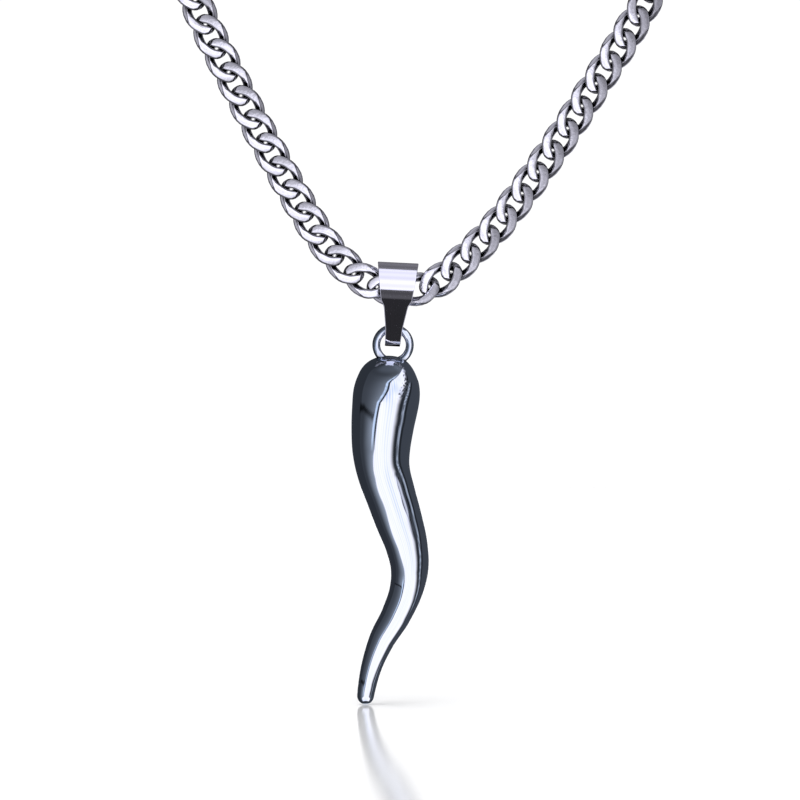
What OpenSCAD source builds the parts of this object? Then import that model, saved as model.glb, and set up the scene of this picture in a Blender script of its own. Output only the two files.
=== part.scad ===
// Horn pendant on a flat curb chain, in the form in which it hangs round a neck.
// Millimetres, +Z up, the front faces -Y, and the origin is where the chain sits on the nape.

/* [Horn] */
// Height of the horn from the top of its head to its tip
horn_h = 45.5; // [35:0.1:60]
// Greatest width of the head, seen from the front
head_w = 8.8; // [7:0.1:12]
// Greatest depth of the head, front to back
head_d = 8.2; // [6.5:0.1:12]
// Sideways distance between the two bulges of the S
sway = 3.65; // [0:0.05:6]
// Height over which the head rounds off
head_round_h = 5.9; // [4:0.1:8]
// Height over which the tip rounds off
tip_round_h = 1.1; // [0.6:0.1:2]

/* [Ring on the horn] */
// Outer diameter of the ring
ring_d = 5.4; // [5.2:0.1:7]
// Diameter of the ring's wire
ring_wire_d = 1.05; // [0.8:0.05:1.2]
// How deep the ring stands in the head
ring_sink = 1.3; // [0.8:0.1:1.8]
// How far the ring hangs off the middle of the bail's strip
ring_slide = 0.12; // [0:0.02:0.2]

/* [Bail] */
// Width of the strip over the chain
bail_w = 5.3; // [4:0.1:7]
// Thickness of the strip
strip_t = 0.6; // [0.4:0.05:0.8]
// From the middle of the chain down to the ring's wire
bail_drop = 5.07; // [4.8:0.01:7]
// Sideways lean of the bail, in degrees
bail_lean = 2.8; // [0:0.1:4]
// How far the foot of the strip is cut off to one side
bail_skew = 0.25; // [0:0.05:0.3]

/* [Loop] */
// Width of the loop at its widest, on the chain's middle line
loop_w = 115; // [108:1:122]
// From the nape forward to the bail
loop_d = 115; // [108:1:122]
// From the nape down to the middle of the chain inside the bail
loop_h = 112; // [105:1:118]

/* [Chain] */
// Width of the chain across its flat side
chain_w = 4.4; // [4:0.05:4.8]
// Thickness of the chain, ground flat on both sides
chain_t = 1.46; // [1.3:0.02:1.7]
// Diameter of the link's wire
link_wire_d = 1.2; // [1.05:0.05:1.25]
// Wished distance from link to link
link_pitch = 3.44; // [3.3:0.02:3.8]
// Twist of each end of a link out of the flat, in degrees
link_twist = 60; // [56:1:64]

/* [Clasp] */
// From the middle of one eye of the clasp to the middle of the other
clasp_reach = 9; // [8:0.5:14]
// Width of the clasp's body
clasp_w = 4.2; // [3.6:0.1:6]
// Thickness of the clasp's body
clasp_t = 2; // [1.4:0.1:2.4]

/* [Clearances] */
// Slack of one link in the next
link_gap = 0.3; // [0.26:0.02:0.4]
// Play of the chain's corners inside the bail
bail_play = 0.58; // [0.4:0.01:1]
// Play of the ring's wire in the foot of the bail
seat_play = 0.25; // [0.2:0.01:0.3]

/* [Hidden] */
$fn = 64;

// Facets of the horn and of a link
horn_sides = 20;
horn_rings = 33;
link_cuts = 10;
wire_sides = 5;

// Below 1 makes the ends of a link blunter than an ellipse
link_blunt = 0.7;

// Horn table: share of the height, side step as a share of the sway, width as a share of the head's
horn_rows = [
    // down, side, width
    [0.00, -0.06, 1.02],
    [0.06, -0.16, 1.01],
    [0.13, -0.26, 0.99],
    [0.20, -0.37, 0.93],
    [0.27, -0.42, 0.86],
    [0.33, -0.34, 0.79],
    [0.40, -0.08, 0.74],
    [0.47,  0.20, 0.70],
    [0.54,  0.47, 0.63],
    [0.61,  0.59, 0.56],
    [0.68,  0.44, 0.49],
    [0.75,  0.07, 0.44],
    [0.81, -0.37, 0.39],
    [0.88, -0.72, 0.32],
    [0.95, -0.93, 0.27],
    [1.00, -1.00, 0.24],
];

// Outline of the bail from the front: share of the drop below the chain's middle, side step as a
// share of the skew, width as a share of the top width. Both end rows lie past the strip.
bail_rows = [
    // down, side, width
    [-0.80, 0.0, 1.03],
    [ 0.25, 0.0, 0.76],
    [ 0.40, 0.1, 0.60],
    [ 1.00, 0.55, 0.42],
    [ 1.60, 1.0, 0.36],
];

// Chosen points of the chain's middle line, once round from the bail: right arm, nape, left arm.
// They are drawn for a loop of the drawn size, and stretched to the wished one. The flat side faces
// the angle, in degrees round +Z from the front.
drawn_loop = [115, 115, 112];
route_rows = [
    // x, y, z, facing
    [ -4.9, -115, -112.0,   0],
    [ -1.5, -115, -112.0,   0],
    [  1.6, -115, -110.8,   0],
    [  4.3, -115, -108.5,   0],
    [  9.2, -115, -103.5,   0],
    [ 15.5, -115,  -95.0,   0],
    [ 21.4, -115,  -86.0,   0],
    [ 28.4, -115,  -74.4,   0],
    [ 38.5, -112,  -54.0,   8],
    [ 47.5, -104,  -34.0,  20],
    [ 54.0,  -91,  -16.0,  42],
    [ 57.5,  -73,   -4.0,  68],
    [ 57.5,  -51,    2.0,  90],
    [ 50.5,  -28,    3.0, 115],
    [ 36.0,  -10,    2.0, 140],
    [ 17.0,   -1,    0.5, 162],
    [  0.0,  0.9,    0.0, 180],
    [-17.0,   -1,    0.5, 198],
    [-36.0,  -10,    2.0, 220],
    [-50.5,  -28,    3.0, 245],
    [-57.5,  -51,    2.0, 270],
    [-57.5,  -73,   -4.0, 292],
    [-53.5,  -91,  -16.0, 318],
    [-46.5, -104,  -34.0, 340],
    [-38.0, -112,  -54.0, 352],
    [-30.2, -115,  -74.4, 360],
    [-25.1, -115,  -85.1, 360],
    [-20.0, -115,  -94.8, 360],
    [-14.6, -115, -104.2, 360],
    [-11.2, -115, -108.4, 360],
    [ -8.2, -115, -110.8, 360],
];
nape_row = 16;
route_cuts = 20;
loop_scale = [loop_w / drawn_loop[0], loop_d / drawn_loop[1], loop_h / drawn_loop[2]];
function stretched(p) = [for (column = [0 : 2]) p[column] * loop_scale[column]];

// Middle of the chain inside the bail, about which the bail swings
bail_centre = stretched([-4, -drawn_loop[1], -drawn_loop[2]]);

// Bail
bend_depth = 0.03;
function bail_column(column) = [for (row = bail_rows) [row[0], row[column]]];
bail_r = norm([chain_w, chain_t]) / 2 + bail_play;
skew_at_seat = bail_skew * lookup(1, bail_column(1));
strip_at_seat = bail_w * lookup(1, bail_column(2));
ring_r = (ring_d - ring_wire_d) / 2;
ring_dip = ring_r - sqrt(ring_r * ring_r - pow(strip_at_seat / 2 + ring_slide, 2));
seat_r = ring_wire_d / 2 + ring_dip + seat_play;
leg_sin = (bail_r - seat_r) / bail_drop;
leg_cos = sqrt(1 - leg_sin * leg_sin);
bail_outer_r = bail_r + strip_t;
bail_bottom = bail_drop + seat_r + 2 * strip_t;
foot_drop = (bail_bottom - bail_outer_r) / (1 - leg_sin);
foot_r = bail_bottom - foot_drop;

// Horn, hung by the wire of its ring
bar_centre = bail_centre
    - [bail_drop * sin(bail_lean) + skew_at_seat + ring_slide, 0, bail_drop * cos(bail_lean)];
ring_centre = bar_centre - [0, 0, ring_r];
head_top = ring_centre - [0, 0, ring_r + ring_wire_d / 2 - ring_sink];

// Link
end_reach = (link_wire_d + link_gap) / 2;
link_half_w = (chain_w - link_wire_d) / 2;
eye_r = link_half_w;

// Smooth curve through four rows, from the second to the third
function blend(a, b, c, d, t) =
    0.5 * (2 * b + (c - a) * t + (2 * a - 5 * b + 4 * c - d) * t * t
    + (3 * b - a - 3 * c + d) * t * t * t);

// Stretched row of the closed table, with a facing that goes on past a full turn
function route_row(i) =
    let (n = len(route_rows), turn = floor(i / n), row = route_rows[i - turn * n])
    [each stretched(row), row[3] + 360 * turn];

route = [
    for (i = [0 : len(route_rows) - 1], k = [0 : route_cuts - 1])
        blend(route_row(i - 1), route_row(i), route_row(i + 1), route_row(i + 2), k / route_cuts),
    route_row(len(route_rows)),
];

function place(row) = [row[0], row[1], row[2]];
function unit(v) = v / norm(v);

// Length along the route up to each of its rows
route_s = [
    for (i = 0, s = 0; i < len(route); i = i + 1,
        s = s + (i < len(route) ? norm(place(route[i]) - place(route[i - 1])) : 0)) s,
];
route_len = route_s[len(route_s) - 1];
route_tables = [
    for (column = [0 : 3]) [for (i = [0 : len(route) - 1]) [route_s[i], route[i][column]]],
];

function wrap(s) = s - route_len * floor(s / route_len);
function on_route(s) = [for (column = [0 : 2]) lookup(wrap(s), route_tables[column])];
function facing(s) = lookup(wrap(s), route_tables[3]);

// Whole links that fit the loop with the clasp, and the even step between them
links_room = route_len + 2 * end_reach - 2 * eye_r - clasp_reach;
links_total = round(links_room / link_pitch);
step = links_room / links_total;
link_half_l = step / 2 + end_reach;
clasp_room = 2 * (step - link_half_l + eye_r) + clasp_reach;
links_right = round((route_s[nape_row * route_cuts] - clasp_room / 2) / step);
links_left = links_total - 1 - links_right;

// Axes of a piece on the chain: along the route, to its left, and out of the flat side
function axes(along, angle) =
    let (
        x = unit(along),
        out = [sin(angle), -cos(angle), 0],
        z = unit(out - (out * x) * x)
    )
    [x, cross(z, x), z];
function link_axes(s) = axes(on_route(s + step / 2) - on_route(s - step / 2), facing(s));

// Middle line of a link in the link's own axes, twisted out of the flat towards both ends
function blunt(v) = sign(v) * pow(abs(v), link_blunt);
function link_middle(turn) =
    let (along = blunt(cos(turn)), side = blunt(sin(turn)), twist = -link_twist * along)
    [
        link_half_l * along,
        link_half_w * side * cos(twist),
        link_half_w * side * sin(twist),
    ];

// Point of a link's wire, ground flat on both sides
function wire_point(cut, side) =
    let (
        turn = 360 * (cut + 0.5) / link_cuts,
        near = 120 / link_cuts,
        along = unit(link_middle(turn + near) - link_middle(turn - near)),
        up = unit([0, 0, 1] - along[2] * along),
        across = cross(along, up),
        around = 360 * (side + 0.5) / wire_sides,
        p = link_middle(turn) + link_wire_d / 2 * (cos(around) * up + sin(around) * across)
    )
    [p[0], p[1], max(-chain_t / 2, min(chain_t / 2, p[2]))];

link_shape = [for (cut = [0 : link_cuts - 1], side = [0 : wire_sides - 1]) wire_point(cut, side)];

function link_at(s) =
    let (a = link_axes(s), c = on_route(s))
    [for (p = link_shape) c + p[0] * a[0] + p[1] * a[1] + p[2] * a[2]];

// Two triangles for each facet between two closed rows of points
function facet_pair(a, b, c, d) = [[a, b, c], [a, c, d]];
function tube_faces(first, rows, sides, closed) = [
    for (i = [0 : rows - (closed ? 1 : 2)], j = [0 : sides - 1])
        let (
            i2 = (i + 1) % rows,
            j2 = (j + 1) % sides
        )
        each facet_pair(
            first + i * sides + j,
            first + i2 * sides + j,
            first + i2 * sides + j2,
            first + i * sides + j2
        ),
];

// Links at the given lengths along the route
module links(places) {
    link_points = link_cuts * wire_sides;
    polyhedron(
        points = [for (s = places) each link_at(s)],
        faces = [
            for (n = [0 : len(places) - 1])
                each tube_faces(n * link_points, link_cuts, wire_sides, true),
        ]
    );
}

// Value of a horn column at a share of the height, smooth through the table's rows
function horn_value(u, column) =
    let (
        last = len(horn_rows) - 1,
        i = min(last - 1, len([for (row = horn_rows) if (row[0] <= u) row]) - 1),
        t = (u - horn_rows[i][0]) / (horn_rows[i + 1][0] - horn_rows[i][0])
    )
    blend(
        horn_rows[max(i - 1, 0)][column],
        horn_rows[i][column],
        horn_rows[i + 1][column],
        horn_rows[min(i + 2, last)][column],
        t
    );

// Share of the full width left by a rounded end, at a distance from that end
round_power = 2.2;
function rounded(distance, height) =
    distance >= height ? 1
    : pow(1 - pow(1 - distance / height, round_power), 1 / round_power);

function horn_middle(u) = [sway * horn_value(u, 1), 0, -horn_h * u];
function horn_size(u) =
    horn_value(u, 2) * rounded(horn_h * u, head_round_h) * rounded(horn_h * (1 - u), tip_round_h);

// Shares of the height at which rings lie, closer together at both rounded ends
function horn_ring_place(i) =
    let (
        head = head_round_h / horn_h,
        tip = tip_round_h / horn_h,
        head_rings = 7,
        tip_rings = 4,
        body_rings = horn_rings - head_rings - tip_rings
    )
    i < head_rings ? head * (1 - cos(90 * (i + 0.5) / head_rings))
    : i < head_rings + body_rings ? head + (1 - head - tip) * (i - head_rings) / body_rings
    : 1 - tip * (1 - sin(90 * (i - head_rings - body_rings) / tip_rings));

module horn_body() {
    slope_cut = 0.004;
    points = [
        for (i = [0 : horn_rings - 1])
            let (
                u = horn_ring_place(i),
                along = unit(horn_middle(min(1, u + slope_cut)) - horn_middle(max(0, u - slope_cut))),
                across = [-along[2], 0, along[0]]
            )
            for (j = [0 : horn_sides - 1])
                let (around = 360 * j / horn_sides)
                horn_middle(u) + horn_size(u) / 2
                    * (head_w * cos(around) * across + head_d * sin(around) * [0, -1, 0]),
        horn_middle(0),
        horn_middle(1),
    ];
    top = horn_rings * horn_sides;
    last_ring = top - horn_sides;
    faces = [
        each tube_faces(0, horn_rings, horn_sides, false),
        for (j = [0 : horn_sides - 1]) [top, j, (j + 1) % horn_sides],
        for (j = [0 : horn_sides - 1])
            [top + 1, last_ring + (j + 1) % horn_sides, last_ring + j],
    ];
    polyhedron(points = points, faces = faces);
}

module horn() {
    color("slategray") {
        translate(head_top) horn_body();
        translate(ring_centre) rotate([90, 0, 0]) ring(ring_r, ring_wire_d);
    }
}

// Round ring of wire lying in the XY plane
module ring(middle_r, wire_d) {
    rotate_extrude() translate([middle_r, 0]) circle(d = wire_d);
}

// Bar along X with a side outline that is round at the top and the foot, with straight legs.
// The legs lie a little inside the round ends, which leaves the strip's bend line.
module teardrop(top_r, foot_at, bottom_r, width) {
    top_leg = top_r - bend_depth;
    bottom_leg = bottom_r - bend_depth;
    rotate([90, 0, 90]) {
        cylinder(r = top_r, h = width, center = true);
        translate([0, -foot_at, 0]) cylinder(r = bottom_r, h = width, center = true);
        linear_extrude(width, center = true)
            polygon([
                [top_leg * leg_cos, -top_leg * leg_sin],
                [bottom_leg * leg_cos, -foot_at - bottom_leg * leg_sin],
                [-bottom_leg * leg_cos, -foot_at - bottom_leg * leg_sin],
                [-top_leg * leg_cos, -top_leg * leg_sin],
            ]);
    }
}

module bail() {
    left = [for (row = bail_rows) [-bail_skew * row[1] - bail_w * row[2] / 2, -bail_drop * row[0]]];
    right = [for (row = bail_rows) [-bail_skew * row[1] + bail_w * row[2] / 2, -bail_drop * row[0]]];
    color("dimgray")
        translate(bail_centre) rotate([0, bail_lean, 0])
            intersection() {
                difference() {
                    teardrop(bail_outer_r, foot_drop, foot_r, 1.5 * bail_w);
                    teardrop(bail_r, bail_drop, seat_r, 2 * bail_w);
                }
                rotate([90, 0, 0])
                    linear_extrude(4 * bail_outer_r, center = true)
                        polygon([each left, for (i = [len(right) - 1 : -1 : 0]) right[i]]);
            }
}

module chain_left() {
    color("silver") links([for (k = [0 : links_left]) -k * step]);
}

module chain_right() {
    color("silver") links([for (k = [1 : links_right]) k * step]);
}

// Plain closed fastener between the last links, with an eye at each end
module clasp() {
    start = on_route(links_right * step);
    finish = on_route(-links_left * step);
    a = axes(finish - start, 180);
    c = (start + finish) / 2;
    frame = [
        [a[0][0], a[1][0], a[2][0], c[0]],
        [a[0][1], a[1][1], a[2][1], c[1]],
        [a[0][2], a[1][2], a[2][2], c[2]],
    ];
    body_l = clasp_reach - 2 * eye_r + link_wire_d / 2;
    color("silver") multmatrix(frame) {
        for (end = [-1, 1])
            translate([end * clasp_reach / 2, 0, 0])
                rotate([-end * link_twist, 0, 0])
                    ring(eye_r, link_wire_d);
        cube([body_l, clasp_w, clasp_t], center = true);
    }
}

horn();
bail();
chain_left();
chain_right();
clasp();
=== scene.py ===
import math

import bpy
import numpy as np
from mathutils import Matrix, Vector


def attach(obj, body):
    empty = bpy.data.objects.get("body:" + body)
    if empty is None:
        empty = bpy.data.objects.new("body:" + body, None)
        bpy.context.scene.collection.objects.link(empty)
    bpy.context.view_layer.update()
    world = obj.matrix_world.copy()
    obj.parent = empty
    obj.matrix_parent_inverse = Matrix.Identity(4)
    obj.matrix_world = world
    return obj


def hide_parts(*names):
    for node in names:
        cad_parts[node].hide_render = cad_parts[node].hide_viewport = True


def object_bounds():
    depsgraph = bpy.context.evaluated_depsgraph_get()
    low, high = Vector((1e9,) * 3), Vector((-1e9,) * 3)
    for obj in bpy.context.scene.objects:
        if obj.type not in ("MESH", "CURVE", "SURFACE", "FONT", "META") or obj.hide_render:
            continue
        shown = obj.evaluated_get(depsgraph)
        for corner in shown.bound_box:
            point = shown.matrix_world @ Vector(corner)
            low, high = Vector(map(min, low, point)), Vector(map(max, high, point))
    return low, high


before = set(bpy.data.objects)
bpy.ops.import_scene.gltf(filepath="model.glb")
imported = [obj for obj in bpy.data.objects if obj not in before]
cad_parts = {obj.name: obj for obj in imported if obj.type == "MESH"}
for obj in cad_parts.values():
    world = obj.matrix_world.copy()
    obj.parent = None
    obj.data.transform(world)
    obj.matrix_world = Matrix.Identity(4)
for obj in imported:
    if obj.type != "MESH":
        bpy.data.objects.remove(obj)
cad_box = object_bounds()

# Sizes are in millimetres, as in the part's own source, until a piece is made
MM = 0.001

# Horn
HORN_H = 45.5
HEAD_W = 8.8
HEAD_D = 8.2
SWAY = 3.65
HEAD_ROUND_H = 5.9
TIP_ROUND_H = 1.1
ROUND_POWER = 2.2
HORN_ROWS = np.array([
    # down, side, width
    [0.00, -0.06, 1.02],
    [0.06, -0.16, 1.01],
    [0.13, -0.26, 0.99],
    [0.20, -0.37, 0.93],
    [0.27, -0.42, 0.86],
    [0.33, -0.34, 0.79],
    [0.40, -0.08, 0.74],
    [0.47, 0.20, 0.70],
    [0.54, 0.47, 0.63],
    [0.61, 0.59, 0.56],
    [0.68, 0.44, 0.49],
    [0.75, 0.07, 0.44],
    [0.81, -0.37, 0.39],
    [0.88, -0.72, 0.32],
    [0.95, -0.93, 0.27],
    [1.00, -1.00, 0.24],
])

# Ring on the horn
RING_D = 5.4
RING_WIRE_D = 1.05
RING_SINK = 1.3
RING_SLIDE = 0.12

# Bail
BAIL_W = 5.3
STRIP_T = 0.6
BAIL_DROP = 5.07
BAIL_LEAN = 2.8
BAIL_SKEW = 0.25
BAIL_PLAY = 0.58
SEAT_PLAY = 0.25
BAIL_CENTRE = np.array([-4.0, -115.0, -112.0])
BAIL_ROWS = np.array([
    # down, side, width
    [-0.80, 0.0, 1.03],
    [0.25, 0.0, 0.76],
    [0.40, 0.1, 0.60],
    [1.00, 0.55, 0.42],
    [1.60, 1.0, 0.36],
])

# Chain
CHAIN_W = 4.4
CHAIN_T = 1.46
LINK_WIRE_D = 1.2
SHOWN_WIRE_D = 1.25
LINK_PITCH = 3.44
LINK_TWIST = 60.0
LINK_GAP = 0.3
LINK_BLUNT = 0.7
ROUTE_CUTS = 20
NAPE_ROW = 16
ROUTE_ROWS = np.array([
    # x, y, z, facing
    [-4.9, -115, -112.0, 0],
    [-1.5, -115, -112.0, 0],
    [1.6, -115, -110.8, 0],
    [4.3, -115, -108.5, 0],
    [9.2, -115, -103.5, 0],
    [15.5, -115, -95.0, 0],
    [21.4, -115, -86.0, 0],
    [28.4, -115, -74.4, 0],
    [38.5, -112, -54.0, 8],
    [47.5, -104, -34.0, 20],
    [54.0, -91, -16.0, 42],
    [57.5, -73, -4.0, 68],
    [57.5, -51, 2.0, 90],
    [50.5, -28, 3.0, 115],
    [36.0, -10, 2.0, 140],
    [17.0, -1, 0.5, 162],
    [0.0, 0.9, 0.0, 180],
    [-17.0, -1, 0.5, 198],
    [-36.0, -10, 2.0, 220],
    [-50.5, -28, 3.0, 245],
    [-57.5, -51, 2.0, 270],
    [-57.5, -73, -4.0, 292],
    [-53.5, -91, -16.0, 318],
    [-46.5, -104, -34.0, 340],
    [-38.0, -112, -54.0, 352],
    [-30.2, -115, -74.4, 360],
    [-25.1, -115, -85.1, 360],
    [-20.0, -115, -94.8, 360],
    [-14.6, -115, -104.2, 360],
    [-11.2, -115, -108.4, 360],
    [-8.2, -115, -110.8, 360],
])

# Clasp
CLASP_REACH = 9.0
CLASP_W = 4.2
CLASP_T = 2.0


def unit(v):
    v = np.asarray(v, float)
    return v / np.linalg.norm(v, axis=-1, keepdims=True)


def blend(a, b, c, d, t):
    """Smooth curve through four rows, from the second to the third."""
    return 0.5 * (
        2 * b + (c - a) * t + (2 * a - 5 * b + 4 * c - d) * t * t
        + (3 * b - a - 3 * c + d) * t * t * t
    )


def turned(points, degrees, axis):
    """Points turned by the right-hand rule about the X or the Y axis."""
    angle = math.radians(degrees)
    cos, sin = math.cos(angle), math.sin(angle)
    turn = {
        "x": [[1, 0, 0], [0, cos, -sin], [0, sin, cos]],
        "y": [[cos, 0, sin], [0, 1, 0], [-sin, 0, cos]],
    }[axis]
    return np.asarray(points) @ np.array(turn).T


# Shapes are lists of (points, normals, faces) that become one mesh
def grid_faces(rows, sides, closed):
    """Quads between neighbouring rows of a tube; a closed tube meets its own start."""
    i = np.arange(rows if closed else rows - 1)[:, None]
    j = np.arange(sides)[None, :]
    i2 = (i + 1) % rows
    j2 = (j + 1) % sides
    quads = [i * sides + j, i2 * sides + j, i2 * sides + j2, i * sides + j2]
    return np.stack([np.broadcast_to(q, (len(i), sides)) for q in quads], -1).reshape(-1, 4)


def facing_out(points, normals, faces):
    """The faces, wound so that they look the way of the points' normals."""
    a, b, c = (np.array([face[k] for face in faces]) for k in range(3))
    looks = np.cross(points[b] - points[a], points[c] - points[a])
    inward = (looks * normals[a]).sum() < 0
    return [tuple(face)[::-1] if inward else tuple(face) for face in faces]


def make_piece(name, shapes, body, node, material):
    """One mesh object from shapes in millimetres, in place of a node of the part."""
    points = []
    normals = []
    faces = []
    first = 0
    for shape_points, shape_normals, shape_faces in shapes:
        points.append(shape_points)
        normals.append(shape_normals)
        shape_faces = facing_out(shape_points, shape_normals, shape_faces)
        faces += [tuple(int(i) + first for i in face) for face in shape_faces]
        first += len(shape_points)
    mesh = bpy.data.meshes.new(name)
    mesh.from_pydata((np.vstack(points) * MM).tolist(), [], faces)
    mesh.polygons.foreach_set("use_smooth", [True] * len(mesh.polygons))
    mesh.normals_split_custom_set_from_vertices(np.vstack(normals).tolist())
    mesh.materials.append(material)
    mesh.update()
    piece = bpy.data.objects.new(name, mesh)
    bpy.context.scene.collection.objects.link(piece)
    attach(piece, body)
    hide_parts(node)
    return piece


# Route of the chain, as lengths and places along it
def route_row(i):
    """Row of the closed route, numbered on past its end."""
    turn = i // len(ROUTE_ROWS)
    return ROUTE_ROWS[i % len(ROUTE_ROWS)] + np.array([0, 0, 0, 360 * turn])


ROUTE = np.array([
    blend(route_row(i - 1), route_row(i), route_row(i + 1), route_row(i + 2), k / ROUTE_CUTS)
    for i in range(len(ROUTE_ROWS))
    for k in range(ROUTE_CUTS)
] + [route_row(len(ROUTE_ROWS))])
ROUTE_STEPS = np.linalg.norm(np.diff(ROUTE[:, :3], axis=0), axis=1)
ROUTE_S = np.concatenate([[0], np.cumsum(ROUTE_STEPS)])
ROUTE_LEN = ROUTE_S[-1]


def on_route(s):
    """Place at a length along the route."""
    return np.array([np.interp(s % ROUTE_LEN, ROUTE_S, ROUTE[:, c]) for c in range(3)])


def axes(along, angle):
    """Axes of a piece on the chain: along the route, to its left, out of the flat side."""
    x = unit(along)
    turn = math.radians(angle)
    out = np.array([math.sin(turn), -math.cos(turn), 0])
    z = unit(out - out.dot(x) * x)
    return np.array([x, np.cross(z, x), z])


END_REACH = (LINK_WIRE_D + LINK_GAP) / 2
EYE_R = (CHAIN_W - LINK_WIRE_D) / 2
LINKS_ROOM = ROUTE_LEN + 2 * END_REACH - 2 * EYE_R - CLASP_REACH
LINKS_TOTAL = round(LINKS_ROOM / LINK_PITCH)
STEP = LINKS_ROOM / LINKS_TOTAL
LINK_HALF_L = STEP / 2 + END_REACH
CLASP_ROOM = 2 * (STEP - LINK_HALF_L + EYE_R) + CLASP_REACH
LINKS_RIGHT = round((ROUTE_S[NAPE_ROW * ROUTE_CUTS] - CLASP_ROOM / 2) / STEP)
LINKS_LEFT = LINKS_TOTAL - 1 - LINKS_RIGHT


def link_axes(s):
    """Axes of the link whose middle is at a length along the route."""
    angle = np.interp(s % ROUTE_LEN, ROUTE_S, ROUTE[:, 3])
    return axes(on_route(s + STEP / 2) - on_route(s - STEP / 2), angle)


def blunt(v):
    return np.sign(v) * np.abs(v) ** LINK_BLUNT


def link_middle(turn):
    """Middle of a link's wire: a blunt oval that is twisted about its length."""
    along = blunt(np.cos(turn))
    side = blunt(np.sin(turn))
    twist = np.radians(-LINK_TWIST * along)
    half_w = (CHAIN_W - SHOWN_WIRE_D) / 2
    return np.stack([
        LINK_HALF_L * along,
        half_w * side * np.cos(twist),
        half_w * side * np.sin(twist),
    ], -1)


# Across a ground flat: share of its width, drop as a share of its width, and sideways tilt
FLAT_CUTS = [
    (0.02, 0.075, -0.62),
    (0.15, 0.012, -0.55),
    (0.19, 0.0, -0.10),
    (0.50, 0.0, 0.0),
    (0.81, 0.0, 0.10),
    (0.85, 0.012, 0.55),
    (0.98, 0.075, 0.62),
]


def link_shape():
    """A wire link ground flat on both sides, with eased edges where the flats begin."""
    cuts = 44
    round_cuts = 7
    ease = math.radians(5)
    least_flat = math.radians(3)
    near = math.radians(5)
    end_tilt = 0.15
    turn = 2 * np.pi * (np.arange(cuts) + 0.5) / cuts
    middle = link_middle(turn)
    along = unit(link_middle(turn + near) - link_middle(turn - near))
    up = unit(np.array([0, 0, 1]) - along[:, 2:] * along)
    across = np.cross(along, up)
    radius = SHOWN_WIRE_D / 2
    reach = radius * up[:, 2]
    top = np.arccos(np.clip((CHAIN_T / 2 - middle[:, 2]) / reach, -1, 1))
    bottom = np.arccos(np.clip((-CHAIN_T / 2 - middle[:, 2]) / reach, -1, 1))
    top = np.maximum(top, least_flat)
    bottom = np.minimum(bottom, np.pi - least_flat)
    lengthwise = (middle[:, :1] / LINK_HALF_L) * np.array([1.0, 0, 0])
    points = []
    normals = []

    def add_flat(start, finish, z_sign):
        first = middle + radius * (np.cos(start)[:, None] * up + np.sin(start)[:, None] * across)
        last = middle + radius * (np.cos(finish)[:, None] * up + np.sin(finish)[:, None] * across)
        way = unit(last - first)
        chord = np.linalg.norm(last - first, axis=1)[:, None]
        for share, drop, tilt in FLAT_CUTS:
            points.append(first + share * (last - first) - drop * chord * [0, 0, z_sign])
            normals.append(unit([0, 0, z_sign] + tilt * way + end_tilt * lengthwise))

    def add_round(start, finish):
        for share in np.linspace(0, 1, round_cuts + 1):
            angle = start + share * (finish - start)
            radial = np.cos(angle)[:, None] * up + np.sin(angle)[:, None] * across
            points.append(middle + radius * radial)
            normals.append(radial)

    add_flat(-top, top, 1.0)
    add_round(top + ease, bottom - ease)
    add_flat(bottom, 2 * np.pi - bottom, -1.0)
    add_round(2 * np.pi - bottom + ease, 2 * np.pi - top - ease)
    sides = len(points)
    points = np.stack(points, 1).reshape(-1, 3)
    normals = np.stack(normals, 1).reshape(-1, 3)
    points[:, 2] = np.clip(points[:, 2], -CHAIN_T / 2, CHAIN_T / 2)
    return points, normals, grid_faces(cuts, sides, True)


def chain_shapes(places):
    """Copies of the link at lengths along the route, each rolled and pitched a little."""
    rng = np.random.default_rng(7)
    wobble = 1.3
    points, normals, faces = link_shape()
    shapes = []
    for s in places:
        roll, pitch = rng.normal(0, wobble, 2)
        link_points = turned(turned(points, roll, "x"), pitch, "y")
        link_normals = turned(turned(normals, roll, "x"), pitch, "y")
        a = link_axes(s)
        shapes.append((on_route(s) + link_points @ a, link_normals @ a, faces))
    return shapes


# Horn
def horn_value(u, column):
    """Smooth value from the horn's table at a share of its height."""
    rows = HORN_ROWS
    last = len(rows) - 1
    i = min(last - 1, int(np.searchsorted(rows[:, 0], u, side="right")) - 1)
    t = (u - rows[i][0]) / (rows[i + 1][0] - rows[i][0])
    return blend(
        rows[max(i - 1, 0)][column],
        rows[i][column],
        rows[i + 1][column],
        rows[min(i + 2, last)][column],
        t,
    )


def rounded(distance, height):
    """Share of the full width at a distance from a rounded end."""
    if distance >= height:
        return 1.0
    return (1 - (1 - distance / height) ** ROUND_POWER) ** (1 / ROUND_POWER)


def horn_middle(u):
    return np.array([SWAY * horn_value(u, 1), 0, -HORN_H * u])


def horn_size(u):
    head = rounded(HORN_H * u, HEAD_ROUND_H)
    tip = rounded(HORN_H * (1 - u), TIP_ROUND_H)
    return horn_value(u, 2) * head * tip


def tube_normals(points, rows, sides):
    """Normals of an open tube's points, from its own neighbours."""
    grid = points.reshape(rows, sides, 3)
    down = np.gradient(grid, axis=0)
    around = np.roll(grid, -1, axis=1) - np.roll(grid, 1, axis=1)
    return unit(np.cross(around, down)).reshape(-1, 3)


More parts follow.
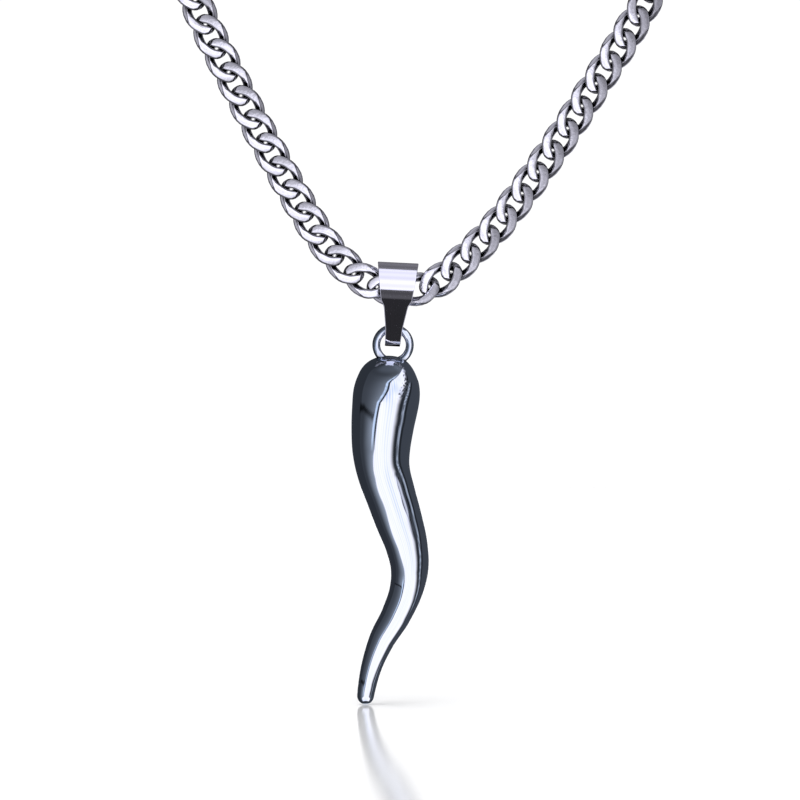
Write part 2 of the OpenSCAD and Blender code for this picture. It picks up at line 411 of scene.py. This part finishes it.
def horn_shapes(head_top, ring_centre, ring_r):
    """The S of the horn, and the ring that is sunk into its head."""
    sides = 144
    head_rings = 26
    body_rings = 90
    tip_rings = 16
    first_ring = 0.3
    head = HEAD_ROUND_H / HORN_H
    tip = TIP_ROUND_H / HORN_H
    quarter = math.pi / 2
    places = [
        head * (1 - math.cos(quarter * (i + first_ring) / head_rings)) for i in range(head_rings)
    ]
    places += [head + (1 - head - tip) * i / body_rings for i in range(body_rings)]
    places += [1 - tip * (1 - math.sin(quarter * i / tip_rings)) for i in range(tip_rings)]
    slope_cut = 0.004
    points = []
    for u in places:
        ahead = horn_middle(min(1, u + slope_cut))
        behind = horn_middle(max(0, u - slope_cut))
        along = unit(ahead - behind)
        across = np.array([-along[2], 0, along[0]])
        angle = 2 * np.pi * np.arange(sides)[:, None] / sides
        spread = HEAD_W * np.cos(angle) * across + HEAD_D * np.sin(angle) * np.array([0, -1, 0])
        points.append(horn_middle(u) + horn_size(u) / 2 * spread)
    rows = len(places)
    points = np.vstack(points)
    normals = tube_normals(points, rows, sides)
    centre = points.reshape(rows, sides, 3).mean(1)
    outward = points - np.repeat(centre, sides, axis=0)
    if (normals * outward).sum() < 0:
        normals = -normals
    faces = [tuple(f) for f in grid_faces(rows, sides, False)]
    top = rows * sides
    faces += [(top, j, (j + 1) % sides) for j in range(sides)]
    last = top - sides
    faces += [(top + 1, last + (j + 1) % sides, last + j) for j in range(sides)]
    points = np.vstack([points, horn_middle(0), horn_middle(1)])
    normals = np.vstack([normals, [0, 0, 1], [0, 0, -1]])
    body = (points + head_top, normals, faces)
    return [body, ring_shape(ring_r, RING_WIRE_D, 90, ring_centre, np.eye(3))]


def ring_shape(middle_r, wire_d, tilt, centre, a):
    """Round ring of wire, turned about its own X axis and then set in the given axes."""
    rows = 96
    sides = 28
    turn = np.repeat(2 * np.pi * np.arange(rows) / rows, sides)
    around = np.tile(2 * np.pi * np.arange(sides) / sides, rows)
    out = np.stack([np.cos(turn), np.sin(turn), np.zeros(len(turn))], -1)
    normals = np.cos(around)[:, None] * out + np.sin(around)[:, None] * np.array([0, 0, 1])
    points = middle_r * out + wire_d / 2 * normals
    points = turned(points, tilt, "x") @ a + centre
    normals = turned(normals, tilt, "x") @ a
    return points, normals, grid_faces(rows, sides, True)


# Bail
def bail_value(down, column):
    """Value from the bail's table at a share of the drop to its foot."""
    return np.interp(down, BAIL_ROWS[:, 0], BAIL_ROWS[:, column])


BAIL_R = math.hypot(CHAIN_W, CHAIN_T) / 2 + BAIL_PLAY
SKEW_AT_SEAT = BAIL_SKEW * bail_value(1, 1)
STRIP_AT_SEAT = BAIL_W * bail_value(1, 2)
RING_R = (RING_D - RING_WIRE_D) / 2
RING_DIP = RING_R - math.sqrt(RING_R ** 2 - (STRIP_AT_SEAT / 2 + RING_SLIDE) ** 2)
SEAT_R = RING_WIRE_D / 2 + RING_DIP + SEAT_PLAY
LEG_SIN = (BAIL_R - SEAT_R) / BAIL_DROP
LEG_ANGLE = math.degrees(math.asin(LEG_SIN))
BAIL_OUTER_R = BAIL_R + STRIP_T
BAIL_BOTTOM = BAIL_DROP + SEAT_R + 2 * STRIP_T
FOOT_DROP = (BAIL_BOTTOM - BAIL_OUTER_R) / (1 - LEG_SIN)
FOOT_R = BAIL_BOTTOM - FOOT_DROP
LEAN = math.radians(BAIL_LEAN)
BAR_CENTRE = BAIL_CENTRE - np.array([
    BAIL_DROP * math.sin(LEAN) + SKEW_AT_SEAT + RING_SLIDE,
    0,
    BAIL_DROP * math.cos(LEAN),
])
RING_CENTRE = BAR_CENTRE - np.array([0, 0, RING_R])
HEAD_TOP = RING_CENTRE - np.array([0, 0, RING_R + RING_WIRE_D / 2 - RING_SINK])


def teardrop_side(top_r, foot_at, foot_r, kinds, values):
    """Places in the side view on a round top, straight legs and a round foot."""
    cos = math.sqrt(1 - LEG_SIN ** 2)
    places = []
    for kind, value in zip(kinds, values):
        turn = math.radians(value)
        if kind == "top":
            places.append([top_r * math.cos(turn), top_r * math.sin(turn)])
        elif kind == "foot":
            places.append([foot_r * math.cos(turn), foot_r * math.sin(turn) - foot_at])
        else:
            side = -1 if kind == "front" else 1
            high = np.array([side * top_r * cos, -top_r * LEG_SIN])
            low = np.array([side * foot_r * cos, -foot_at - foot_r * LEG_SIN])
            places.append(list(high + (low - high) * value))
    return np.array(places)


def teardrop_normals(kinds, values):
    """Ways out of the outline at the same cuts."""
    cos = math.sqrt(1 - LEG_SIN ** 2)
    legs = {"front": [-cos, -LEG_SIN], "back": [cos, -LEG_SIN]}
    turns = [math.radians(value) for value in values]
    return np.array([
        legs.get(kind, [math.cos(turn), math.sin(turn)]) for kind, turn in zip(kinds, turns)
    ])


def turned_up(way, angle):
    """A way in the side view of the front, turned upwards."""
    up = np.array([way[1], -way[0]])
    return math.cos(angle) * way + math.sin(angle) * up


def bail_path():
    """Kinds and values of the strip's cuts, from the front foot over the top to the back foot."""
    leg = LEG_ANGLE
    front_foot_cuts = 80
    back_foot_cuts = 40
    leg_cuts = 30
    top_cuts = 90
    path = [("foot", angle) for angle in np.linspace(270, 180 + leg, front_foot_cuts)]
    path += [("front", share) for share in np.linspace(1, 0, leg_cuts)[1:-1]]
    path += [("top", angle) for angle in np.linspace(180 + leg, -leg, top_cuts)]
    path += [("back", share) for share in np.linspace(0, 1, leg_cuts)[1:-1]]
    path += [("foot", angle) for angle in np.linspace(-leg, -90, back_foot_cuts)]
    return [kind for kind, _ in path], [value for _, value in path]


def bail_shape():
    """Bent strip with eased edges, whose outer end is lapped over the inner one at the foot."""
    lap_angle = 222.0
    lap_slant = 15
    lap_step = 0.2
    lap_fade = 2.5
    past_no_lap = -90.0
    lip_reach = 6.5
    lip_turn = math.radians(46)
    ease = 0.1
    kinds, values = bail_path()
    outer = teardrop_side(BAIL_OUTER_R, FOOT_DROP, FOOT_R, kinds, values)
    inner = teardrop_side(BAIL_R, BAIL_DROP, SEAT_R, kinds, values)
    outward = teardrop_normals(kinds, values)
    lean_over = np.array([
        value - lap_angle if kind == "foot" and value > 180 else past_no_lap
        for kind, value in zip(kinds, values)
    ])
    across_cuts = 9
    corner_cuts = 4
    points = []
    normals = []

    def sunk_at(over):
        """Depth of the inner end below the outer one, this far past the lap."""
        return lap_step * min(1, max(0, over / lap_fade))

    for row, (out_place, in_place, out_way) in enumerate(zip(outer, inner, outward)):
        down = -out_place[1] / BAIL_DROP
        middle = -BAIL_SKEW * bail_value(down, 1)
        half = BAIL_W * bail_value(down, 2) / 2
        in_down = -in_place[1] / BAIL_DROP
        in_middle = -BAIL_SKEW * bail_value(in_down, 1)
        in_half = BAIL_W * bail_value(in_down, 2) / 2
        ring_points = []
        ring_normals = []

        def add(x, side_place, nx, n_way, up_turn=0):
            way = n_way * turned_up(out_way, up_turn)
            ring_points.append([x, side_place[0], side_place[1]])
            ring_normals.append([nx, way[0], way[1]])

        for share in np.linspace(-1, 1, across_cuts):
            x = middle + share * (half - ease)
            over = lean_over[row] - lap_slant * share
            sunk = sunk_at(over)
            lip = lip_turn if -lip_reach < over < 0 else 0
            add(x, out_place - sunk * out_way, 0, 1, lip)
        sunk = sunk_at(lean_over[row] - lap_slant)
        for k in range(1, corner_cuts + 1):
            turn = math.pi / 2 * k / corner_cuts
            place = out_place - (sunk + ease * (1 - math.cos(turn))) * out_way
            add(middle + half - ease * (1 - math.sin(turn)), place, math.sin(turn), math.cos(turn))
        for k in range(corner_cuts + 1):
            turn = math.pi / 2 * k / corner_cuts
            place = in_place + ease * (1 - math.sin(turn)) * out_way
            add(in_middle + in_half - ease * (1 - math.cos(turn)), place, math.cos(turn),
                -math.sin(turn))
        add(in_middle, in_place, 0, -1)
        for k in range(corner_cuts, -1, -1):
            turn = math.pi / 2 * k / corner_cuts
            place = in_place + ease * (1 - math.sin(turn)) * out_way
            add(in_middle - in_half + ease * (1 - math.cos(turn)), place, -math.cos(turn),
                -math.sin(turn))
        sunk = sunk_at(lean_over[row] + lap_slant)
        for k in range(corner_cuts, 0, -1):
            turn = math.pi / 2 * k / corner_cuts
            place = out_place - (sunk + ease * (1 - math.cos(turn))) * out_way
            add(middle - half + ease * (1 - math.sin(turn)), place, -math.sin(turn),
                math.cos(turn))
        points.append(ring_points)
        normals.append(ring_normals)
    rows = len(points)
    sides = len(points[0])
    points = turned(np.array(points).reshape(-1, 3), BAIL_LEAN, "y") + BAIL_CENTRE
    normals = turned(np.array(normals).reshape(-1, 3), BAIL_LEAN, "y")
    return points, normals, grid_faces(rows - 1, sides, False)


# Clasp
def clasp_shapes():
    """A plate with an eye at each end, between the chain's last links."""
    plate_ease = 0.35
    start = on_route(LINKS_RIGHT * STEP)
    finish = on_route(-LINKS_LEFT * STEP)
    a = axes(finish - start, 180)
    centre = (start + finish) / 2
    shapes = []
    for end in (-1, 1):
        eye_centre = centre + end * CLASP_REACH / 2 * a[0]
        shapes.append(ring_shape(EYE_R, LINK_WIRE_D, -end * LINK_TWIST, eye_centre, a))
    half = np.array([CLASP_REACH - 2 * EYE_R + LINK_WIRE_D / 2, CLASP_W, CLASP_T]) / 2
    shapes.append(eased_plate(half, plate_ease, centre, a))
    return shapes


def eased_plate(half, ease, centre, a):
    """Plate with rounded edges and corners, set in the given axes."""
    cuts = 8
    quarter = [math.pi / 2 * k / cuts for k in range(cuts + 1)]
    points = []
    normals = []
    for tilt_sign in (1, -1):
        tilts = quarter if tilt_sign == 1 else quarter[::-1]
        for tilt in tilts:
            for corner in range(4):
                for turn in quarter:
                    angle = corner * math.pi / 2 + turn
                    flat = math.sin(tilt)
                    normal = np.array([
                        math.cos(angle) * flat,
                        math.sin(angle) * flat,
                        tilt_sign * math.cos(tilt),
                    ])
                    signs = np.array([
                        1 if corner in (0, 3) else -1,
                        1 if corner in (0, 1) else -1,
                        tilt_sign,
                    ])
                    points.append(signs * (half - ease) + ease * normal)
                    normals.append(normal)
    sides = 4 * (cuts + 1)
    rows = 2 * (cuts + 1)
    faces = [tuple(f) for f in grid_faces(rows, sides, False)]
    corners = [corner * (cuts + 1) for corner in range(4)]
    faces.append(tuple(corners))
    faces.append(tuple((rows - 1) * sides + corner for corner in corners[::-1]))
    return np.array(points) @ a + centre, np.array(normals) @ a, faces


# Materials
def new_material(name):
    material = bpy.data.materials.new(name)
    material.use_nodes = True
    return material, material.node_tree.nodes, material.node_tree.links


def add_noise(nodes, links, scale, detail, stretch):
    """Noise over the piece's own coordinates, stretched by shares along X, Y and Z."""
    place = nodes.new("ShaderNodeTexCoord")
    mapping = nodes.new("ShaderNodeMapping")
    mapping.inputs["Scale"].default_value = stretch
    noise = nodes.new("ShaderNodeTexNoise")
    noise.inputs["Scale"].default_value = scale
    noise.inputs["Detail"].default_value = detail
    links.new(place.outputs["Object"], mapping.inputs["Vector"])
    links.new(mapping.outputs["Vector"], noise.inputs["Vector"])
    return noise.outputs["Fac"]


def add_range(nodes, links, value, reads, gives):
    """Stretches a value from one range to another."""
    spread = nodes.new("ShaderNodeMapRange")
    spread.inputs["From Min"].default_value = reads[0]
    spread.inputs["From Max"].default_value = reads[1]
    spread.inputs["To Min"].default_value = gives[0]
    spread.inputs["To Max"].default_value = gives[1]
    links.new(value, spread.inputs["Value"])
    return spread.outputs["Result"]


def add_bump(nodes, links, value, strength, distance, shader):
    bump = nodes.new("ShaderNodeBump")
    bump.inputs["Strength"].default_value = strength
    bump.inputs["Distance"].default_value = distance
    links.new(value, bump.inputs["Height"])
    links.new(bump.outputs["Normal"], shader.inputs["Normal"])


def metal(name, color, roughness, wear_scale, grain, grain_scale, grain_depth, painted_shade_reach,
          painted_shade_span):
    """Metal with patchy polish, painted shade that darkens its colour in hollows and between
    parts, and a fine grain that is stretched by brushing.
    """
    noise_span = (0.3, 0.7)
    painted_shade_dim = 0.03
    material, nodes, links = new_material(name)
    shader = nodes["Principled BSDF"]
    shader.inputs["Metallic"].default_value = 1.0
    tone = add_noise(nodes, links, wear_scale, 3, (1, 1, 1))
    # Painted shade: ambient occlusion darkens the base colour towards near black in hollows,
    # creases and between parts
    painted_shade_ao = nodes.new("ShaderNodeAmbientOcclusion")
    painted_shade_ao.samples = 12
    painted_shade_ao.only_local = True
    painted_shade_ao.inputs["Distance"].default_value = painted_shade_reach
    mix = nodes.new("ShaderNodeMix")
    mix.data_type = "RGBA"
    mix.inputs["A"].default_value = (*[c * painted_shade_dim for c in color], 1)
    mix.inputs["B"].default_value = (*color, 1)
    unshaded = add_range(nodes, links, painted_shade_ao.outputs["AO"], painted_shade_span, (0, 1))
    links.new(unshaded, mix.inputs["Factor"])
    links.new(mix.outputs["Result"], shader.inputs["Base Color"])
    polish = add_range(nodes, links, tone, noise_span, roughness)
    links.new(polish, shader.inputs["Roughness"])
    lines = add_noise(nodes, links, grain_scale, 4, grain)
    add_bump(nodes, links, lines, 1.0, grain_depth, shader)
    return material


# Each metal darkens its colour with painted shade in hollows and between parts, over the given
# reach and occlusion span
horn_steel = metal(
    "horn_steel", (0.60, 0.65, 0.74),
    roughness=(0.02, 0.06), wear_scale=260,
    grain=(1, 1, 0.15), grain_scale=900, grain_depth=2e-7,
    painted_shade_reach=0.003, painted_shade_span=(0.5, 0.86),
)
bail_steel = metal(
    "bail_steel", (0.58, 0.58, 0.63),
    roughness=(0.06, 0.12), wear_scale=400,
    grain=(1, 0.03, 0.03), grain_scale=6000, grain_depth=3e-6,
    painted_shade_reach=0.001, painted_shade_span=(0.0, 0.3),
)
chain_steel = metal(
    "chain_steel", (0.78, 0.78, 0.84),
    roughness=(0.05, 0.16), wear_scale=900,
    grain=(1, 1, 1), grain_scale=2500, grain_depth=2.2e-5,
    painted_shade_reach=0.0015, painted_shade_span=(0.3, 0.85),
)

# Pieces
horn = make_piece(
    "horn_polished", horn_shapes(HEAD_TOP, RING_CENTRE, RING_R), "horn", "horn", horn_steel
)
bail = make_piece("bail_strip", [bail_shape()], "bail", "bail", bail_steel)
left_links = make_piece(
    "links_left",
    chain_shapes([-k * STEP for k in range(LINKS_LEFT + 1)]),
    "chain", "chain_left", chain_steel,
)
right_links = make_piece(
    "links_right",
    chain_shapes([k * STEP for k in range(1, LINKS_RIGHT + 1)]),
    "chain", "chain_right", chain_steel,
)
clasp = make_piece("clasp_plate", clasp_shapes(), "chain", "clasp", chain_steel)


# Stage
def stage_mesh(name, points, faces, material):
    mesh = bpy.data.meshes.new(name)
    mesh.from_pydata([tuple(p) for p in points], [], faces)
    mesh.materials.append(material)
    mesh.update()
    thing = bpy.data.objects.new(name, mesh)
    bpy.context.scene.collection.objects.link(thing)
    return thing


def clear_glow(name):
    """Material that gives light and lets light through, with its emission node."""
    material, nodes, links = new_material(name)
    nodes.remove(nodes["Principled BSDF"])
    glow = nodes.new("ShaderNodeEmission")
    clear = nodes.new("ShaderNodeBsdfTransparent")
    both = nodes.new("ShaderNodeAddShader")
    links.new(glow.outputs["Emission"], both.inputs[0])
    links.new(clear.outputs["BSDF"], both.inputs[1])
    links.new(both.outputs["Shader"], nodes["Material Output"].inputs["Surface"])
    return material, glow


def white_glow(name, strength):
    material, glow = clear_glow(name)
    glow.inputs["Color"].default_value = (1, 1, 1, 1)
    glow.inputs["Strength"].default_value = strength
    return material


def seen_by(thing, camera=False, diffuse=False, glossy=False, shadow=False):
    """The thing shows to these kinds of rays and to no others."""
    thing.visible_camera = camera
    thing.visible_diffuse = diffuse
    thing.visible_glossy = glossy
    thing.visible_transmission = False
    thing.visible_volume_scatter = False
    thing.visible_shadow = shadow


def light_only(light, *things):
    """Only these things are lit by the light."""
    group = bpy.data.collections.new(light.name + "_lit")
    for thing in things:
        group.objects.link(thing)
    light.light_linking.receiver_collection = group


PENDANT = Vector((-0.0036, -0.115, -0.1264))
FLOOR_GAP = 0.00005
FLOOR_Z = cad_box[0][2] - FLOOR_GAP


def floor_disc():
    """Matt white floor that turns glossy where it is seen at a slant."""
    radius = 0.35
    sides = 96
    rim = [2 * math.pi * k / sides for k in range(sides)]
    points = [(radius * math.cos(t), radius * math.sin(t) + PENDANT.y, FLOOR_Z) for t in rim]
    material, nodes, links = new_material("floor_gloss")
    shader = nodes["Principled BSDF"]
    shader.inputs["Base Color"].default_value = (0.95, 0.95, 0.96, 1)
    shader.inputs["Roughness"].default_value = 0.9
    sheen = nodes.new("ShaderNodeBsdfAnisotropic")
    sheen.inputs["Color"].default_value = (0.97, 0.97, 0.98, 1)
    sheen.inputs["Roughness"].default_value = 0.12
    weight = nodes.new("ShaderNodeLayerWeight")
    slant = add_range(nodes, links, weight.outputs["Facing"], (0.6, 1), (0, 0.72))
    mix = nodes.new("ShaderNodeMixShader")
    links.new(slant, mix.inputs["Fac"])
    links.new(shader.outputs["BSDF"], mix.inputs[1])
    links.new(sheen.outputs["BSDF"], mix.inputs[2])
    links.new(mix.outputs["Shader"], nodes["Material Output"].inputs["Surface"])
    return stage_mesh("floor", points, [tuple(range(sides))], material)


def backdrop_dome():
    """Pale surroundings far behind, for the camera alone."""
    radius = 6.0
    rows = 12
    sides = 48
    points = []
    for row in range(rows + 1):
        rise = math.pi * row / rows
        for side in range(sides):
            turn = 2 * math.pi * side / sides
            points.append((
                radius * math.sin(rise) * math.cos(turn),
                radius * math.sin(rise) * math.sin(turn),
                radius * math.cos(rise),
            ))
    faces = [tuple(int(i) for i in f) for f in grid_faces(rows + 1, sides, False)]
    dome = stage_mesh("backdrop", points, faces, white_glow("backdrop", 1.05))
    seen_by(dome, camera=True)


def direction(azimuth, elevation):
    """Way out from the pendant: azimuth 0 is to the front and 90 to the right, in degrees."""
    a, e = math.radians(azimuth), math.radians(elevation)
    return Vector((math.sin(a) * math.cos(e), -math.cos(a) * math.cos(e), math.sin(e)))


# Elevations of the rows of a surround, closer together where thin lines lie
SURROUND_ROWS = np.concatenate([
    np.arange(-90, -10, 1.5),
    np.arange(-10, 2, 0.25),
    np.arange(2, 90.1, 1.5),
])


def surround(name, radius, shade, *things):
    """Sphere of soft light that only these things mirror, coloured by azimuth and elevation."""
    sides = 288
    azimuth = np.tile(np.linspace(-180, 180, sides, endpoint=False), len(SURROUND_ROWS))
    elevation = np.repeat(SURROUND_ROWS, sides)
    a, e = np.radians(azimuth), np.radians(elevation)
    way = np.stack([np.sin(a) * np.cos(e), -np.cos(a) * np.cos(e), np.sin(e)], -1)
    points = np.array(PENDANT) + radius * way
    faces = grid_faces(len(SURROUND_ROWS), sides, False).tolist()
    material, glow = clear_glow(name)
    color = material.node_tree.nodes.new("ShaderNodeVertexColor")
    color.layer_name = "glow"
    material.node_tree.links.new(color.outputs["Color"], glow.inputs["Color"])
    material.cycles.emission_sampling = "NONE"
    sphere = stage_mesh(name, points.tolist(), faces, material)
    colors = np.ones((len(points), 4))
    colors[:, :3] = shade(azimuth, elevation)
    glow_colors = sphere.data.color_attributes.new("glow", "FLOAT_COLOR", "POINT")
    glow_colors.data.foreach_set("color", colors.ravel())
    seen_by(sphere, glossy=True)
    light_only(sphere, *things)


def step_up(value, edge, soft):
    """0 below the edge and 1 above it, over a soft width."""
    share = np.clip((value - edge) / soft + 0.5, 0, 1)
    return share * share * (3 - 2 * share)


def between(value, low, high, soft):
    """1 between the two edges and 0 past them, over a soft width."""
    return step_up(value, low, soft) * (1 - step_up(value, high, soft))


def tint(share, color):
    """The colour at each share of its strength."""
    return share[:, None] * np.array(color)


def ripples(a, b):
    """Smooth uneven values from 0 to 1 over two coordinates."""
    waves = np.sin(a + 1.7 * np.sin(0.61 * b)) + np.sin(1.73 * b + 1.3 * np.sin(0.83 * a + 1))
    return 0.5 + 0.25 * waves


floor = floor_disc()
seen_by(floor, camera=True, diffuse=True, shadow=True)
backdrop_dome()

# Studio round the horn: the tall softbox's edges at each elevation
SOFTBOX_ROWS = np.array([
    # elevation, left, right
    [-60, -60, 80],
    [-40, -52, 74],
    [-30, -48, 64],
    [-24, -42, 52],
    [-18, -32, 43],
    [-14, -25, 44],
    [-10, -20, 46],
    [-6, -13, 48],
    [-2, -7, 51],
    [4, 0, 56],
    [12, 7, 64],
    [20, 10, 72],
    [26, 12, 78],
    [30, 17, 82],
    [35, 29, 87],
    [39, 44, 93],
    [44, 68, 98],
    [48, 90, 98],
])


SOFTBOX_LIGHT = (1.62, 1.52, 1.52)
LINE_SHADE = (0.52, 0.36, 0.12)
CLOUD_SHADE = (0.30, 0.22, 0.06)
EDGE_LIGHT = (0.85, 1.0, 1.25)
WALL_GREY = (0.86, 0.94, 1.08)
STRIP_LIGHT = (0.88, 0.95, 1.1)
SIDE_GREY = (0.80, 0.89, 1.06)
BACK_LIGHT = (0.9, 0.95, 1.05)
BAIL_LIGHT = (1.5, 1.5, 1.72)
BAIL_GREY = (0.98, 0.96, 1.06)
CHAIN_LIGHT = (0.97, 0.96, 1.06)


def horn_studio(azimuth, elevation):
    """A tall softbox in front, with a grey wall to its left and dark walls elsewhere."""
    left = np.interp(elevation, SOFTBOX_ROWS[:, 0], SOFTBOX_ROWS[:, 1])
    right = np.interp(elevation, SOFTBOX_ROWS[:, 0], SOFTBOX_ROWS[:, 2])
    level = between(elevation, -64, 47, 3)
    uneven = ripples(0.35 * azimuth, 0.5 * elevation)
    edge = right - 4 + 10 * (uneven - 0.5) * step_up(elevation, -6, 6)
    fade = np.interp(elevation, [-10, 4, 20, 40], [20, 22, 14, 30])
    inside = step_up(azimuth, left, 2.5) * (1 - step_up(azimuth, edge, fade)) * level
    lines = np.clip(ripples(0.75 * azimuth, 0.05 * elevation) * 2.4 - 0.95, 0, 1)
    lines = lines * (1 - step_up(azimuth, 34, 20))
    clouds = ripples(0.13 * azimuth + 1, 0.12 * elevation) * step_up(elevation, -14, 20)
    color = tint(inside, SOFTBOX_LIGHT)
    color -= tint(inside * lines, LINE_SHADE)
    color -= tint(inside * clouds, CLOUD_SHADE)

    # Light line and dark gap on the softbox's left, above its foot
    beside = left - 7
    above_foot = between(elevation, -12, 42, 6)
    line = between(azimuth, beside - 8, beside, 3) * above_foot
    color += tint(line * (0.75 + 0.4 * uneven), EDGE_LIGHT)

    # Grey wall on the left, brighter towards the softbox, with a dark seam across
    near = left - 15 * above_foot
    upper = 0.04 + 0.26 * np.clip((azimuth + 86) / (near + 86), 0, 1) ** 2.3
    lower = 0.02 + 0.48 * np.clip((azimuth + 76) / (near + 76), 0, 1) ** 1.5
    seam = np.interp(azimuth, [-90, -75, -60, -48, -38], [-2.6, -3.5, -5.4, -7.1, -8.7])
    above = step_up(elevation, seam, 0.5)
    wall = upper * above + lower * (1 - above)
    wall *= step_up(azimuth, -88, 4) * (1 - step_up(azimuth, near, 2.5))
    wall *= np.interp(elevation, [12, 45, 70], [1, 0.5, 0.2])
    color += tint(wall, WALL_GREY)
    seam_line = between(elevation, seam - 0.45, seam + 0.45, 0.35) * between(azimuth, -94, -34, 4)

    # Uneven bright things past the softbox on the right, and a paler far side
    broken = np.clip(ripples(0.5 * azimuth, 0.9 * elevation + 2) * 2.4 - 0.7, 0, 1)
    low_part = between(elevation, -34, 16, 8)
    strip = between(azimuth, right + 16, right + 25, 5) * low_part
    color += tint(strip * (0.14 + 0.5 * broken), STRIP_LIGHT)
    gap = between(azimuth, right + 28, right + 36, 5) * low_part
    gap = np.maximum(gap, 0.5 * between(azimuth, right + 6, right + 14, 6) * (elevation < -4))
    side = 0.05 + 0.04 * between(azimuth, 60, 172, 30)
    side += 0.07 * between(azimuth, -60, 90, 60) * step_up(elevation, 55, 20)
    side *= 1 - 0.7 * gap
    color += tint(side, SIDE_GREY)

    # Narrow light straight behind, for the back
    behind = (1 - step_up(180 - np.abs(azimuth), 11, 5)) * between(elevation, -50, 2, 8)
    color += tint(behind, BACK_LIGHT)

    # Dark uneven spots along the softbox's right edge
    blots = np.clip(ripples(0.42 * azimuth + 2, 0.55 * elevation) * 4 - 2.2, 0, 1)
    blots *= between(azimuth, right - 16, right + 14, 8) * between(elevation, -3, 38, 8)
    color *= ((1 - 0.9 * seam_line) * (1 - 0.95 * blots))[:, None]
    return np.clip(color, 0.004, 3)


def bail_studio(azimuth, elevation):
    """Light from the front's level to overhead, grey past both, and dark below."""
    turn = np.abs(azimuth)
    over = np.where(turn > 90, 180 - elevation, elevation)
    bright = between(over, 1.5, 98, 3)
    glow = 0.04 + 0.10 * between(over, -37, 2, 5) + 0.22 * step_up(over, 97, 4)
    glow *= 0.7 + 0.6 * ripples(0.9 * azimuth, 0.1 * elevation)
    edges = between(turn, 30, 130, 20) * between(elevation, -60, 60, 20)
    tone = 0.82 + 0.36 * ripples(0.04 * azimuth, 0.11 * elevation)
    light = bright * tone + 0.35 * edges
    return tint(light, BAIL_LIGHT) + tint(glow, BAIL_GREY)


def chain_studio(azimuth, elevation):
    """A bright core in front that falls off to greys, and paler light from the other sides."""
    out = np.hypot(azimuth / 1.15, elevation + 5)
    clouds = ripples(0.23 * azimuth, 0.29 * elevation)
    core = np.interp(out, [0, 10, 18, 28, 45, 60, 75], [1.5, 1.3, 0.85, 0.5, 0.26, 0.1, 0.03])
    core = core * (0.62 + 0.7 * clouds)
    turn = np.abs(azimuth)
    level = between(elevation, -45, 45, 30)
    grey = 0.015 + 0.06 * ripples(0.07 * azimuth + 1, 0.09 * elevation)
    grey += np.where(azimuth < 0, 0.42, 0.26) * between(turn, 66, 112, 12) * level
    grey += 0.3 * between(turn, 146, 185, 12) * level
    grey += 0.45 * between(turn, 166, 185, 8) * between(elevation, -22, 22, 10)
    grey += np.where(azimuth < 0, 0.42, 0.3) * step_up(elevation, 56, 20)
    return tint(core + grey, CHAIN_LIGHT)


def right_studio(azimuth, elevation):
    """The same light seen more from its side, so the right strand is greyer."""
    return chain_studio(azimuth + 12, elevation + 9)


# The surrounds lie one inside the next, so that none of them touch
surround("horn_studio", 0.70, horn_studio, horn)
surround("bail_studio", 0.72, bail_studio, bail)
surround("chain_studio", 0.74, chain_studio, left_links, clasp)
surround("right_studio", 0.76, right_studio, right_links)

# Soft light from overhead that only the floor takes, for the faint shadow under the tip
floor_light_data = bpy.data.lights.new("floor_light", "SUN")
floor_light_data.energy = 3.6
floor_light_data.angle = math.radians(38)
floor_light = bpy.data.objects.new("floor_light", floor_light_data)
bpy.context.scene.collection.objects.link(floor_light)
light_way = -direction(-40, 86)
floor_light.rotation_euler = light_way.to_track_quat("-Z", "Y").to_euler()
floor_light.visible_glossy = False
light_only(floor_light, floor)


def floor_card():
    """White wall all round, which only the floor mirrors."""
    radius = 1.4
    foot_z = -0.3
    top_z = 2.2
    sides = 64
    turns = [2 * math.pi * k / sides for k in range(sides)]
    points = [
        (radius * math.cos(turn), radius * math.sin(turn), z)
        for z in (foot_z, top_z)
        for turn in turns
    ]
    faces = grid_faces(2, sides, False).tolist()
    card = stage_mesh("floor_card", points, faces, white_glow("floor_card", 1.1))
    seen_by(card, glossy=True)
    light_only(card, floor)


floor_card()

# No light comes from beyond the stage
world = bpy.data.worlds.new("surroundings")
bpy.context.scene.world = world
world.use_nodes = True
world.node_tree.nodes["Background"].inputs["Strength"].default_value = 0.0

# Camera at the photograph's angle, on a long lens
camera_data = bpy.data.cameras.new("camera")
camera = bpy.data.objects.new("camera", camera_data)
bpy.context.scene.collection.objects.link(camera)
bpy.context.scene.camera = camera
CAMERA_DISTANCE = 1.0
CAMERA_RISE = 4
FRAME_WIDTH = 0.104
camera.location = PENDANT + CAMERA_DISTANCE * direction(0, CAMERA_RISE)
camera.rotation_euler = (PENDANT - camera.location).to_track_quat("-Z", "Y").to_euler()
camera_data.sensor_width = 36
camera_data.lens = camera_data.sensor_width * CAMERA_DISTANCE / FRAME_WIDTH
camera_data.clip_start = 0.01
camera_data.clip_end = 50

bpy.context.scene.view_settings.view_transform = "Standard"
